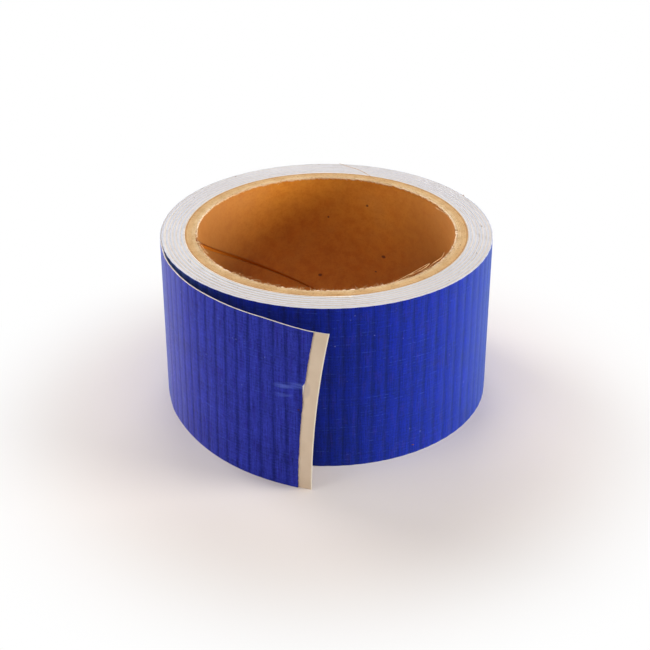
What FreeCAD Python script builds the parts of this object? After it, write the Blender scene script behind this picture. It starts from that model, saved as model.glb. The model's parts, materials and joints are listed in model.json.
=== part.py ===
import FreeCAD
import Part
import math
import os

# A roll of woven grip tape on a spiral-wound paper core, standing on its flat side.
# Millimetres. The origin is the centre of the core's bore at the bottom face, +Z is the
# roll's axis, and angles are counted anticlockwise from +X, seen from above.

# Core: paper plies glued round one another
bore_diameter = 76.2
ply_thickness = 0.5
body_ply_count = 5

# The innermost ply is a strip wound as a helix, whose edges don't quite meet
seam_gap = 1.4
seam_pitch = 155.0
seam_angle_at_base = 69.4

# Web: the tape as it is wound, from its inner face to its outer face
tape_width = 50.8
liner_thickness = 0.26
adhesive_thickness = 0.30
fabric_thickness = 0.42
turn_gap = 0.02
full_turns = 6
inner_end_angle = -81.0
peel_angle = 188.0

# Strip of thin tape that holds the web's inner end on the core
start_tape_thickness = 0.10
start_tape_length = 20.0
start_tape_setback = 1.0
start_tape_margin = 3.0

# Tail: the free end of the web, in rigid lengths with a fold line before each
tail_length = 70.0
tail_segments = 4
tail_relaxed_by = 14.5
tail_lift = 0.25
fold_gap = 0.30

# The cut across the tail's end leans, and the liner runs on past the fabric
cut_skew = 5.0
liner_tab_length = 4.0
tab_fold_gap = 0.40

# Sizes that follow
bore_radius = bore_diameter / 2
core_radius = bore_radius + (body_ply_count + 2) * ply_thickness
web_thickness = liner_thickness + adhesive_thickness + fabric_thickness
turn_pitch = web_thickness + turn_gap
first_turn_radius = core_radius + start_tape_thickness
turned_angle = 360.0 * full_turns + (peel_angle - inner_end_angle) % 360.0
fold_spacing = tail_length / tail_segments
cut_spare = tape_width * math.tan(math.radians(cut_skew))

# Each layer of the web as its two distances from the web's inner face
web_layers = {
    "liner": (0.0, liner_thickness),
    "adhesive": (liner_thickness, liner_thickness + adhesive_thickness),
    "fabric": (liner_thickness + adhesive_thickness, web_thickness),
}

up = FreeCAD.Vector(0, 0, 1)


def unit(angle):
    """Unit vector in the base plane at an angle in degrees."""
    return FreeCAD.Vector(math.cos(math.radians(angle)), math.sin(math.radians(angle)), 0)


def tube(inner_radius, outer_radius, height):
    return Part.makeCylinder(outer_radius, height).cut(Part.makeCylinder(inner_radius, height))


def arc_edge(centre, radius, start, end):
    """Anticlockwise arc in the base plane."""
    points = [centre + unit(angle) * radius for angle in (start, (start + end) / 2, end)]
    return Part.Arc(*points).toShape()


def sheet_along(arcs, near, far, height):
    """Sheet standing on the base plane along a chain of tangent arcs.

    Each arc is (centre, radius of the chain's line, start angle, end angle); near and far are
    the sheet's two faces as distances outwards from that line.
    """
    outer = [arc_edge(c, r + far, a, b) for c, r, a, b in arcs]
    inner = [arc_edge(c, r + near, a, b) for c, r, a, b in reversed(arcs)]
    last_centre, last_radius, _, last_angle = arcs[-1]
    first_centre, first_radius, first_angle, _ = arcs[0]
    end_cut = Part.makeLine(
        last_centre + unit(last_angle) * (last_radius + far),
        last_centre + unit(last_angle) * (last_radius + near),
    )
    start_cut = Part.makeLine(
        first_centre + unit(first_angle) * (first_radius + near),
        first_centre + unit(first_angle) * (first_radius + far),
    )
    edges = Part.__sortEdges__(outer + [end_cut] + inner + [start_cut])
    return Part.Face(Part.Wire(edges)).extrude(up * height)


def winding_arcs():
    """The web's inner face from its inner end to the peel line, as half-turns.

    Every other half-turn is round the core's own axis, so the web hugs the core there. The
    half-turns between are round a centre half a pitch away, and climb by one pitch.
    """
    climb_centre = unit(inner_end_angle) * (turn_pitch / 2)
    peel_radius = first_turn_radius + turned_angle // 180 * turn_pitch / 2
    stop_angle = turned_angle - math.degrees(fold_gap / 2 / peel_radius)
    arcs = []
    turned = 0.0
    while turned < stop_angle:
        step = min(180.0, stop_angle - turned)
        centre = FreeCAD.Vector(0, 0, 0) if len(arcs) % 2 == 0 else climb_centre
        radius = first_turn_radius + len(arcs) * turn_pitch / 2
        start = inner_end_angle + turned
        arcs.append((centre, radius, start, start + step))
        turned += step
    return arcs


def tail_frame():
    """Centre and radius of the tail's inner face, and the angle at which the tail starts."""
    centre, radius, _, _ = winding_arcs()[-1]
    tail_radius = radius + tail_relaxed_by
    tail_centre = centre - unit(peel_angle) * (tail_relaxed_by - tail_lift)
    return tail_centre, tail_radius, peel_angle


def tail_angle(distance):
    """Angle round the tail's centre at a distance along the middle of the web."""
    _, radius, start = tail_frame()
    return start + math.degrees(distance / (radius + web_thickness / 2))


def tail_point(distance, height, depth=web_thickness / 2):
    """Point in the tail, at a depth outwards from its inner face."""
    centre, radius, _ = tail_frame()
    return centre + unit(tail_angle(distance)) * (radius + depth) + up * height


def tail_sheet(begin, end, near, far):
    centre, radius, _ = tail_frame()
    return sheet_along([(centre, radius, tail_angle(begin), tail_angle(end))], near, far, tape_width)


def skew_direction(distance):
    """Direction of a leaning cut up the tail, which is further along the tail at its top."""
    along = unit(tail_angle(distance) + 90)
    lean = math.radians(cut_skew)
    return along * math.sin(lean) + up * math.cos(lean)


def beyond_cut(distance):
    """Block that covers all of the tail past a leaning cut, which is given at mid-height."""
    reach = 2 * tape_width
    normal = unit(tail_angle(distance))
    edge = skew_direction(distance)
    along = edge.cross(normal)
    block = Part.makeBox(reach, reach, 2 * reach, FreeCAD.Vector(-reach / 2, 0, -reach))
    place = FreeCAD.Placement()
    place.Base = tail_point(distance, tape_width / 2)
    place.Rotation = FreeCAD.Rotation(normal, along, edge, "ZXY")
    return block.transformed(place.toMatrix())


def core_plies():
    """Plies from the bore outwards, each a tube that seats on the one inside it."""
    names = ["core_inner_ply"]
    names += ["core_body_ply_%d" % (i + 1) for i in range(body_ply_count)]
    names += ["core_outer_ply"]
    plies = {}
    for i, name in enumerate(names):
        inner = bore_radius + i * ply_thickness
        plies[name] = tube(inner, inner + ply_thickness, tape_width)
    plies["core_inner_ply"] = plies["core_inner_ply"].cut(seam_cutter())
    return plies


def seam_cutter():
    """Helical band with the seam's gap for its height, which goes right through the inner ply."""
    overrun = 2 * seam_gap
    start = seam_angle_at_base - 360.0 * overrun / seam_pitch
    path = Part.makeHelix(seam_pitch, tape_width + 2 * overrun, bore_radius)
    path.Placement = FreeCAD.Placement(up * -overrun, FreeCAD.Rotation(up, start))
    low = bore_radius - ply_thickness
    high = bore_radius + 2 * ply_thickness
    out = unit(start)
    corners = [(low, -0.5), (high, -0.5), (high, 0.5), (low, 0.5), (low, -0.5)]
    band = [out * r + up * (k * seam_gap - overrun) for r, k in corners]
    return Part.Wire(path.Edges).makePipeShell([Part.makePolygon(band)], True, True)


def wound_web():
    arcs = winding_arcs()
    layers = {}
    for name, faces in web_layers.items():
        layers["wound_" + name] = sheet_along(arcs, *faces, tape_width)
    return layers


def start_tape():
    """Strip between core and first turn, as thick as the gap that the web leaves there."""
    begin = inner_end_angle + math.degrees(start_tape_setback / core_radius)
    end = begin + math.degrees(start_tape_length / core_radius)
    arcs = [(up * start_tape_margin, core_radius, begin, end)]
    height = tape_width - 2 * start_tape_margin
    return {"start_tape": sheet_along(arcs, 0.0, start_tape_thickness, height)}


def tail_web():
    """The tail's three layers, length by length; the last length ends at the leaning cut."""
    pieces = {}
    waste = beyond_cut(tail_length)
    for i in range(tail_segments):
        begin = i * fold_spacing + fold_gap / 2
        last = i == tail_segments - 1
        end = tail_length + cut_spare if last else (i + 1) * fold_spacing - fold_gap / 2
        for name, faces in web_layers.items():
            piece = tail_sheet(begin, end, *faces)
            pieces["tail_%s_%d" % (name, i + 1)] = piece.cut(waste) if last else piece
    return pieces


def liner_tab():
    """Strip of bare liner past the fabric's cut edge, whose own end is cut at the same lean."""
    begin = tail_length + tab_fold_gap
    end = begin + liner_tab_length
    strip = tail_sheet(tail_length - cut_spare, end + cut_spare, *web_layers["liner"])
    return {"liner_tab": strip.common(beyond_cut(begin)).cut(beyond_cut(end))}


def fold_lines():
    """Point and direction of each fold line, for the joints."""
    folds = {}
    for i in range(tail_segments):
        folds["tail_%d" % (i + 1)] = (tail_point(i * fold_spacing, tape_width / 2), up)
    tab_fold = tail_length + tab_fold_gap / 2
    tab_point = tail_point(tab_fold, tape_width / 2, liner_thickness / 2)
    folds["liner_tab"] = (tab_point, skew_direction(tab_fold))
    return folds


def build():
    pieces = {}
    for group in (core_plies, start_tape, wound_web, tail_web, liner_tab):
        pieces.update(group())
    return pieces


os.makedirs("parts", exist_ok=True)
for node, shape in build().items():
    shape.exportStep("parts/%s.step" % node)
    solids = len(shape.Solids)
    print("%-18s solids %d  valid %s  volume %.2f" % (node, solids, shape.isValid(), shape.Volume))
for body, (point, direction) in fold_lines().items():
    print("fold %-10s at %.4f %.4f %.4f along %.5f %.5f %.5f" % (body, *point, *direction))
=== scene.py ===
import bpy
import json
import math
import random
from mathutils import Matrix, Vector


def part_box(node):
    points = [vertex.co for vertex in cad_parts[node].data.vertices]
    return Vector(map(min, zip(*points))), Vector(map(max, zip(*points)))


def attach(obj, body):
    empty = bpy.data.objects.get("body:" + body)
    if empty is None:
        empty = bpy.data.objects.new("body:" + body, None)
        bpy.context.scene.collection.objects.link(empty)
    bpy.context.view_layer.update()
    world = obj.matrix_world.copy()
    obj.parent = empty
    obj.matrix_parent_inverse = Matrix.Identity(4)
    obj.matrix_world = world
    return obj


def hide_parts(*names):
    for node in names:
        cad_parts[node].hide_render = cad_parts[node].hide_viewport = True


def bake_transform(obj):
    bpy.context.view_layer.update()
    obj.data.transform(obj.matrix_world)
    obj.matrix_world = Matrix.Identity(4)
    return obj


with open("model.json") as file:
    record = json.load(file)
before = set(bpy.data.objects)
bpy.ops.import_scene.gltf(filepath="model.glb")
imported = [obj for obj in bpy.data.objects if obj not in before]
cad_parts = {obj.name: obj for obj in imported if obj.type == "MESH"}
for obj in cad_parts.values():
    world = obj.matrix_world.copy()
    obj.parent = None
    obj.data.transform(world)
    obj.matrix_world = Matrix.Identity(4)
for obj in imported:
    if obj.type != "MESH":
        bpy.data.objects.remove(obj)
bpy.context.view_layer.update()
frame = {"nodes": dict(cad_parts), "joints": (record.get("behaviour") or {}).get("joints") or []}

mm = 0.001

# Sizes that every piece shares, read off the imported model

joints = {joint["name"]: joint for joint in frame["joints"]}
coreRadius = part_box("core_outer_ply")[1].x
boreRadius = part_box("core_inner_ply")[1].x - 0.5 * mm
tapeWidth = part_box("wound_fabric")[1].z
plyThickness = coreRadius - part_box("core_body_ply_5")[1].x
peelPoint = Vector(joints["tail_peel"]["pos_m"])
foldNames = ("tail_peel", "tail_bend_2", "tail_bend_3", "tail_bend_4")
foldPoints = [Vector(joints[name]["pos_m"]) for name in foldNames]


def circleThrough(first, second, third):
    a, b, c = (point.to_2d() for point in (first, second, third))
    d = 2 * (a.x * (b.y - c.y) + b.x * (c.y - a.y) + c.x * (a.y - b.y))
    squares = [point.length_squared for point in (a, b, c)]
    x = (squares[0] * (b.y - c.y) + squares[1] * (c.y - a.y) + squares[2] * (a.y - b.y)) / d
    y = (squares[0] * (c.x - b.x) + squares[1] * (a.x - c.x) + squares[2] * (b.x - a.x)) / d
    centre = Vector((x, y))
    return centre, (a - centre).length


tailCentre, tailRadius = circleThrough(foldPoints[0], foldPoints[1], foldPoints[3])
tailStart = math.atan2(peelPoint.y - tailCentre.y, peelPoint.x - tailCentre.x) % (2 * math.pi)
foldAngle = math.atan2(foldPoints[1].y - tailCentre.y, foldPoints[1].x - tailCentre.x) % (2 * math.pi)
foldSpacing = (foldAngle - tailStart) * tailRadius
tailLength = foldSpacing * len(foldPoints)


# Helpers for node trees: a Wire is an output that can be added and multiplied like a number

class Wire:
    def __init__(self, tree, socket):
        self.tree = tree
        self.socket = socket

    def __add__(self, other):
        return calc("ADD", self, other)

    def __sub__(self, other):
        return calc("SUBTRACT", self, other)

    def __rsub__(self, other):
        return calc("SUBTRACT", other, self)

    def __mul__(self, other):
        return calc("MULTIPLY", self, other)

    def __truediv__(self, other):
        return calc("DIVIDE", self, other)

    def __rtruediv__(self, other):
        return calc("DIVIDE", other, self)

    __radd__ = __add__
    __rmul__ = __mul__


def plug(tree, value, socket):
    if isinstance(value, Wire):
        tree.links.new(value.socket, socket)
    elif value is not None:
        socket.default_value = value


def addNode(tree, kind, inputs=None, output=0, **settings):
    node = tree.nodes.new(kind)
    for name, value in settings.items():
        setattr(node, name, value)
    for key, value in (inputs or {}).items():
        plug(tree, value, node.inputs[key])
    return Wire(tree, node.outputs[output])


def calc(operation, *values):
    tree = next(value.tree for value in values if isinstance(value, Wire))
    return addNode(tree, "ShaderNodeMath", dict(enumerate(values)), operation=operation)


def smooth(value, low, high, toLow=0.0, toHigh=1.0):
    inputs = {"Value": value, "From Min": low, "From Max": high, "To Min": toLow, "To Max": toHigh}
    return addNode(value.tree, "ShaderNodeMapRange", inputs, interpolation_type="SMOOTHSTEP")


def vector(tree, x=0.0, y=0.0, z=0.0):
    return addNode(tree, "ShaderNodeCombineXYZ", {"X": x, "Y": y, "Z": z})


def parts(value):
    node = value.tree.nodes.new("ShaderNodeSeparateXYZ")
    plug(value.tree, value, node.inputs[0])
    return [Wire(value.tree, socket) for socket in node.outputs]


def noise(place, scale, detail=2.0, roughness=0.5):
    inputs = {"Vector": place, "Scale": scale, "Detail": detail, "Roughness": roughness}
    return addNode(place.tree, "ShaderNodeTexNoise", inputs)


def uneven(u, v, alongScale, upScale, seed=0.0, detail=2.0, roughness=0.5):
    return noise(vector(u.tree, u * alongScale, v * upScale, seed), 1.0, detail, roughness)


def fraction(value):
    return calc("FRACT", value)


def chance(seed, low, high, number):
    inputs = {2: low, 3: high, "Seed": seed + number}
    return addNode(seed.tree, "FunctionNodeRandomValue", inputs, output=1, data_type="FLOAT")


def srgb(red, green, blue):
    shares = [channel / 255 for channel in (red, green, blue)]
    linear = [c / 12.92 if c <= 0.04045 else ((c + 0.055) / 1.055) ** 2.4 for c in shares]
    return (*linear, 1.0)


def mixColour(share, first, second, blend="MIX"):
    tree = next(value.tree for value in (share, first, second) if isinstance(value, Wire))
    node = tree.nodes.new("ShaderNodeMix")
    node.data_type = "RGBA"
    node.blend_type = blend
    plug(tree, share, node.inputs[0])
    plug(tree, first, node.inputs[6])
    plug(tree, second, node.inputs[7])
    return Wire(tree, node.outputs[2])


def spot(u, v, place, size):
    acrossSpot = (u - place[0]) / size[0]
    upSpot = (v - place[1]) / size[1]
    return smooth(acrossSpot * acrossSpot + upSpot * upSpot, 1.0, 0.25)


def strongest(wires):
    result = wires[0]
    for wire in wires[1:]:
        result = calc("MAXIMUM", result, wire)
    return result


def stripPlace(tree):
    return parts(addNode(tree, "ShaderNodeUVMap", uv_map="stripUv"))


def objectPlace(tree):
    return addNode(tree, "ShaderNodeTexCoord", output=3)


def stored(tree, name):
    return addNode(tree, "ShaderNodeAttribute", output=2, attribute_name=name)


def newMaterial(name):
    material = bpy.data.materials.new(name)
    material.use_nodes = True
    shader = material.node_tree.nodes["Principled BSDF"]
    return material, material.node_tree, shader


def finishMaterial(tree, shader, colour, roughness, height=None, bumpDepth=0.0, gloss=0.5):
    plug(tree, colour, shader.inputs["Base Color"])
    plug(tree, roughness, shader.inputs["Roughness"])
    shader.inputs["Specular IOR Level"].default_value = gloss
    if height is not None:
        inputs = {"Strength": 1.0, "Distance": bumpDepth, "Height": height}
        plug(tree, addNode(tree, "ShaderNodeBump", inputs), shader.inputs["Normal"])


def makeTwoTone(name, facts, scale, detail, low, high, roughness=0.8, bumpDepth=0.0):
    material, tree, shader = newMaterial(name)
    tone = noise(objectPlace(tree), scale, detail)
    colour = mixColour(smooth(tone, low, high), facts["colour"], facts["darkColour"])
    finishMaterial(tree, shader, colour, roughness, tone if bumpDepth else None, bumpDepth)
    return material


def addObject(name, data):
    thing = bpy.data.objects.new(name, data)
    bpy.context.scene.collection.objects.link(thing)
    return thing


# Geometry node helpers

def startTree(name, inputs):
    tree = bpy.data.node_groups.new(name, "GeometryNodeTree")
    tree.interface.new_socket("Geometry", in_out="INPUT", socket_type="NodeSocketGeometry")
    for label, value in inputs.items():
        kind = {int: "NodeSocketInt", float: "NodeSocketFloat"}.get(type(value), "NodeSocketMaterial")
        socket = tree.interface.new_socket(label, in_out="INPUT", socket_type=kind)
        if kind != "NodeSocketMaterial":
            socket.default_value = value
    tree.interface.new_socket("Geometry", in_out="OUTPUT", socket_type="NodeSocketGeometry")
    source = tree.nodes.new("NodeGroupInput")
    return tree, {label: Wire(tree, source.outputs[label]) for label in ["Geometry", *inputs]}


def endTree(tree, geometry, material):
    shaded = addNode(tree, "GeometryNodeSetShadeSmooth", {"Geometry": geometry})
    whole = addNode(tree, "GeometryNodeRealizeInstances", {0: shaded})
    coloured = addNode(tree, "GeometryNodeSetMaterial", {"Geometry": whole, "Material": material})
    sink = tree.nodes.new("NodeGroupOutput")
    plug(tree, coloured, sink.inputs[0])


def attribute(tree, name):
    return addNode(tree, "GeometryNodeInputNamedAttribute", {"Name": name}, data_type="FLOAT")


def grow(name, startMesh, tree, values):
    worker = addObject(name, startMesh)
    modifier = worker.modifiers.new("grow", "NODES")
    modifier.node_group = tree
    for item in tree.interface.items_tree:
        if item.in_out == "INPUT" and item.name in values:
            modifier[item.identifier] = values[item.name]
    graph = bpy.context.evaluated_depsgraph_get()
    mesh = bpy.data.meshes.new_from_object(
        worker.evaluated_get(graph), preserve_all_data_layers=True, depsgraph=graph
    )
    worker.modifiers.clear()
    worker.data = mesh
    mesh.set_sharp_from_angle(angle=math.radians(38))
    for index in reversed(range(len(mesh.materials))):
        if mesh.materials[index] is None:
            mesh.materials.pop(index=index)
    return worker


# A strip lies flat before it is wound: x runs along it, y is its height and z its depth

def evenly(low, high, step):
    count = max(1, round((high - low) / step))
    return [low + (high - low) * i / count for i in range(count + 1)]


def stripProfile(outerRows, innerRows, rounding):
    profile = [(height, 1.0) for height in outerRows]
    profile += [(tapeWidth, 1.0 - rounding), (tapeWidth, rounding)]
    profile += [(height, 0.0) for height in reversed(innerRows)]
    profile += [(0.0, rounding), (0.0, 1.0 - rounding)]
    return profile


def flatStrip(name, runs, near, far, capped=True):
    vertices, faces, layer, cutEnd = [], [], [], []
    for columns, profile in runs:
        base = len(vertices)
        loop = len(profile)
        lastColumn = len(columns) - 1
        for column in columns:
            for height, depthShare in profile:
                x = column(height) if callable(column) else column
                vertices.append((x, height, near + depthShare * (far - near)))
                layer.append(depthShare)
        for i in range(lastColumn):
            for j in range(loop):
                here, above = base + i * loop + j, base + i * loop + (j + 1) % loop
                faces.append((here, here + loop, above + loop, above))
                cutEnd.append(0.0)
        if capped:
            rows = loop // 2 - 2
            cap = [range(loop)]
            if all(profile[j][0] == profile[2 * rows + 1 - j][0] for j in range(rows)):
                # A ladder of quads
                cap = [(j, j + 1, 2 * rows - j, 2 * rows + 1 - j) for j in range(-1, rows)]
            for first, order in ((base, 1), (base + lastColumn * loop, -1)):
                faces += [[first + j % loop for j in corners][::order] for corners in cap]
                cutEnd += [1.0] * len(cap)
    mesh = bpy.data.meshes.new(name)
    mesh.from_pydata(vertices, [], faces)
    uvMap = mesh.uv_layers.new(name="stripUv")
    corners = [vertices[loopCorner.vertex_index] for loopCorner in mesh.loops]
    uvMap.data.foreach_set("uv", [number for corner in corners for number in corner[:2]])
    mesh.attributes.new("depthShare", "FLOAT", "POINT").data.foreach_set("value", layer)
    mesh.attributes.new("cutEnd", "FLOAT", "FACE").data.foreach_set("value", cutEnd)
    return mesh


# Winding: the rule that takes the flat web onto the core and along the tail

winding = {
    "coreGap": 0.02 * mm,
    "turnPitch": 0.99 * mm,
    "turnGap": 0.015 * mm,
    "innerEndAngle": math.radians(-81),
    "looseHigh": 0.10 * mm,
    "looseDrop": 0.25 * mm,
    "thinning": 0.60,
    "sunk": 0.28 * mm,
    "tuck": 0.02 * mm,
    "topPinch": 0.26 * mm,
    "topFlare": 2.36 * mm,
    "bottomFlare": 1.0 * mm,
    "easeFrom": 2.0 * mm,
    "easeTo": 13.0 * mm,
    "hugFrom": 0.972,  # share of a turn after which the web steps up over the turn below
    "looseShare": 0.75,
    "settledTurns": 5.7,
    "raiseTurns": 0.13,
    "sinkTurns": 0.14,
}
windingRuns = {  # where along the tail each of its leans starts and ends
    "tuck": (3 * mm, 12 * mm),
    "topPinch": (28 * mm, 42 * mm),
    "topFlare": (56 * mm, 78 * mm),
    "bottomFlare": (16 * mm, 56 * mm),
}
webThickness = winding["turnPitch"] - winding["turnGap"]
peelAngle = math.atan2(peelPoint.y, peelPoint.x) % (2 * math.pi)
fullTurns = 6
woundTurns = fullTurns + ((peelAngle - winding["innerEndAngle"]) % (2 * math.pi)) / (2 * math.pi)
firstRadius = coreRadius + winding["coreGap"]
middleRadius = firstRadius + webThickness / 2
woundLength = 2 * math.pi * (middleRadius * woundTurns + winding["turnPitch"] * woundTurns ** 2 / 2)


def label(key):
    return "".join(" " + letter.lower() if letter.isupper() else letter for letter in key).capitalize()


def buildWindingTree():
    inputs = {label(key): value for key, value in winding.items() if key != "coreGap"}
    inputs |= {
        "First radius": firstRadius,
        "Wound length": woundLength,
        "Peel turns": woundTurns,
        "Peel radius": peelPoint.to_2d().length,
        "Tail radius": tailRadius,
        "Tail centre x": tailCentre.x,
        "Tail centre y": tailCentre.y,
        "Tail start angle": tailStart,
        "Rib pitch": 4.0 * mm,
        "Rib phase": 0.0,
        "Rib depth": 0.0,
        "Thread relief": 0.0,
        "Edge wander": 0.0,
        "Edge inset": 0.0,
        "Seed": 0.0,
        "Material": None,
    }
    tree, wire = startTree("windWeb", inputs)
    along, height, depth = parts(addNode(tree, "GeometryNodeInputPosition"))
    depthShare = attribute(tree, "depthShare")

    nominal = wire["Turn pitch"] - wire["Turn gap"]

    def raised(turns):
        before = smooth(turns, wire["Peel turns"] - wire["Raise turns"], wire["Peel turns"] - 0.01)
        after = smooth(turns, wire["Peel turns"] + wire["Raise turns"], wire["Peel turns"] + 0.02)
        return before * after * (nominal * wire["Thinning"] - wire["Sunk"])

    def spiralFace(turns):
        share = fraction(turns)
        hug = share * wire["Turn pitch"] * smooth(share, wire["Hug from"], 1.0, -1.0, 0.0)
        late = fraction(turns + 10.025)
        fall = calc("MINIMUM", late / wire["Loose share"], 1.0) * wire["Loose drop"]
        loose = wire["Loose high"] - fall + wire["Loose drop"] * smooth(late, wire["Loose share"], 1.0)
        settled = calc("MINIMUM", turns / wire["Settled turns"], 1.0)
        steady = wire["First radius"] + turns * wire["Turn pitch"]
        return steady + hug * (1.0 - settled) + loose * settled

    def innerFace(turns):
        return spiralFace(turns) + raised(turns)

    # Relief of the face: a groove at each rib, and soft rows between the lengthwise threads
    fromRib = calc("ABSOLUTE", fraction(along / wire["Rib pitch"] + wire["Rib phase"]) - 0.5)
    groove = smooth(fromRib, 0.26, 0.0)
    swell = 0.0 - calc("COSINE", fromRib * (2 * math.pi))
    rowRelief = uneven(along, height, 12.0, 560.0, 3.7, 1.0) - 0.5
    outerFace = smooth(depthShare, 0.97, 1.0)
    relief = wire["Rib depth"] * (swell * 0.3 - groove * 0.6) + wire["Thread relief"] * rowRelief
    depth = depth + relief * outerFace

    # Edges: each turn stands a little higher or lower than the next, as a slit web does
    wanderPlace = vector(tree, along * 14.0, height * 3.0 + wire["Seed"], 0.3)
    finePlace = vector(tree, along * 420.0, wire["Seed"] * 2.0, 0.8)
    wander = noise(wanderPlace, 1.0, 2.0) * 1.5 + noise(finePlace, 1.0, 1.0) * 0.35
    topShare = height / tapeWidth
    top = 0.0 - wire["Edge wander"] * (1.1 - wander) - wire["Edge inset"]
    bottom = wire["Edge wander"] * wander * 0.7 + wire["Edge inset"]
    rise = height + topShare * top + (1.0 - topShare) * bottom

    # Wound part, as a spiral
    pitchSquare = along * wire["Turn pitch"] / math.pi
    middle = wire["First radius"] + nominal / 2.0
    turns = (calc("SQRT", middle * middle + pitchSquare) - middle) / wire["Turn pitch"]
    inner = innerFace(turns)
    peelTurns = wire["Peel turns"]
    sunk = smooth(turns, peelTurns - wire["Sink turns"], peelTurns - 0.01) * wire["Sunk"]
    room = innerFace(turns + 1.0) - inner - wire["Turn gap"] - sunk
    underFirst = calc("LESS_THAN", turns, 1.0) * calc("LESS_THAN", depth, 0.01 * mm)
    radius = inner + depth * room / nominal - (inner - wire["First radius"]) * underFirst
    angle = wire["Inner end angle"] + turns * (2 * math.pi)
    woundX = radius * calc("COSINE", angle)
    woundY = radius * calc("SINE", angle)

    # Tail, as an arc that hugs the roll at first and stands out towards its end
    past = along - wire["Wound length"]
    eased = smooth(past, wire["Ease from"], wire["Ease to"])
    lean = {key: smooth(past, *run) * wire[label(key)] for key, run in windingRuns.items()}
    topLean = lean["topFlare"] - lean["topPinch"]
    leaning = topShare * topLean + (1.0 - topShare) * lean["bottomFlare"] - (lean["tuck"] + wire["Sunk"])
    liftHeight = wire["Peel radius"] - nominal / 2.0 - spiralFace(wire["Peel turns"])
    parting = past * past * (0.5 / wire["Peel radius"] - 0.5 / wire["Tail radius"])
    lowered = (liftHeight + parting) * (eased - 1.0)
    thinner = (nominal - depth) * wire["Thinning"]
    tailR = wire["Tail radius"] - nominal / 2.0 + depth + thinner + leaning + lowered
    tailAngle = wire["Tail start angle"] + past / wire["Tail radius"]
    tailX = wire["Tail centre x"] + tailR * calc("COSINE", tailAngle)
    tailY = wire["Tail centre y"] + tailR * calc("SINE", tailAngle)
    free = calc("GREATER_THAN", past, 0.0)
    x = woundX + (tailX - woundX) * free
    y = woundY + (tailY - woundY) * free
    placed = vector(tree, x, y, rise)
    laid = addNode(tree, "GeometryNodeSetPosition", {"Geometry": wire["Geometry"], "Position": placed})
    endTree(tree, laid, wire["Material"])
    return tree


windingTree = buildWindingTree()
print("winding rule ready: %.3f m on the core, %.1f mm of tail" % (woundLength, tailLength / mm))


# Tail: where it is cut, and how the cuts lean

tail = {
    "sections": [0.0, 10.0 * mm, 25.0 * mm, 45.0 * mm, 60.0 * mm, tailLength],
    "cutLean": math.tan(math.radians(5.5)),
    "linerLean": math.tan(math.radians(5.8)),
    "clothRun": 0.75 * mm,
    "linerRun": 4.7 * mm,
    "clothBow": 1.1 * mm,
    "linerBow": 1.1 * mm,
    "nickHeight": 0.655,
    "nickDepth": 0.70 * mm,
    "jag": 0.07 * mm,
    "columnStep": {"cloth": 0.5 * mm, "adhesive": 1.0 * mm, "liner": 0.7 * mm},
}


# Cloth of the tape: a blue coat on white yarn, with darker ribs across it

cloth = {
    "coatColour": srgb(6, 20, 138),
    # paler tail coat: partly wear, partly painted sheen
    "tailColour": srgb(45, 52, 157),
    "ribColour": srgb(4, 8, 84),
    "warmColour": srgb(38, 30, 134),
    "threadColour": srgb(72, 104, 214),
    "fleckColour": srgb(140, 150, 214),
    "scuffColour": srgb(104, 124, 214),
    "speckColour": srgb(62, 36, 40),
    "yarnColour": srgb(220, 214, 210),
    "stainColour": srgb(188, 176, 168),
    "dirt": [
        (-0.1, 0.685, 0.35, 0.9),
        (-0.3, 0.430, 0.40, 0.5),
        (-1.6, 0.505, 0.4, 0.4),
        (-47.6, 0.71, 0.3, 0.3),
    ],
    "ribPitch": 4.0 * mm,
    "ribPhase": 0.42,
    "ribDepth": 0.07 * mm,
    "edgeWander": 0.05 * mm,
    "threadRelief": 0.05 * mm,
    "threadSpacing": 0.9 * mm,
    "yarnSize": (0.46 * mm, 0.50 * mm),
    "roughness": 0.42,
    "gloss": 0.06,
    "glossTint": srgb(186, 236, 240),
    "sheen": (0.68, 0.46),  # weight and roughness
    "sheenTint": srgb(140, 184, 252),
    "tailSheen": (0.24, 0.28),
    "tailSheenTint": srgb(214, 196, 236),
    "tailShares": [0.40, 0.65, 0.82, 0.93, 1.0],
}


def between(first, second, share):
    return [a + (b - a) * share for a, b in zip(first, second)]


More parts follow.
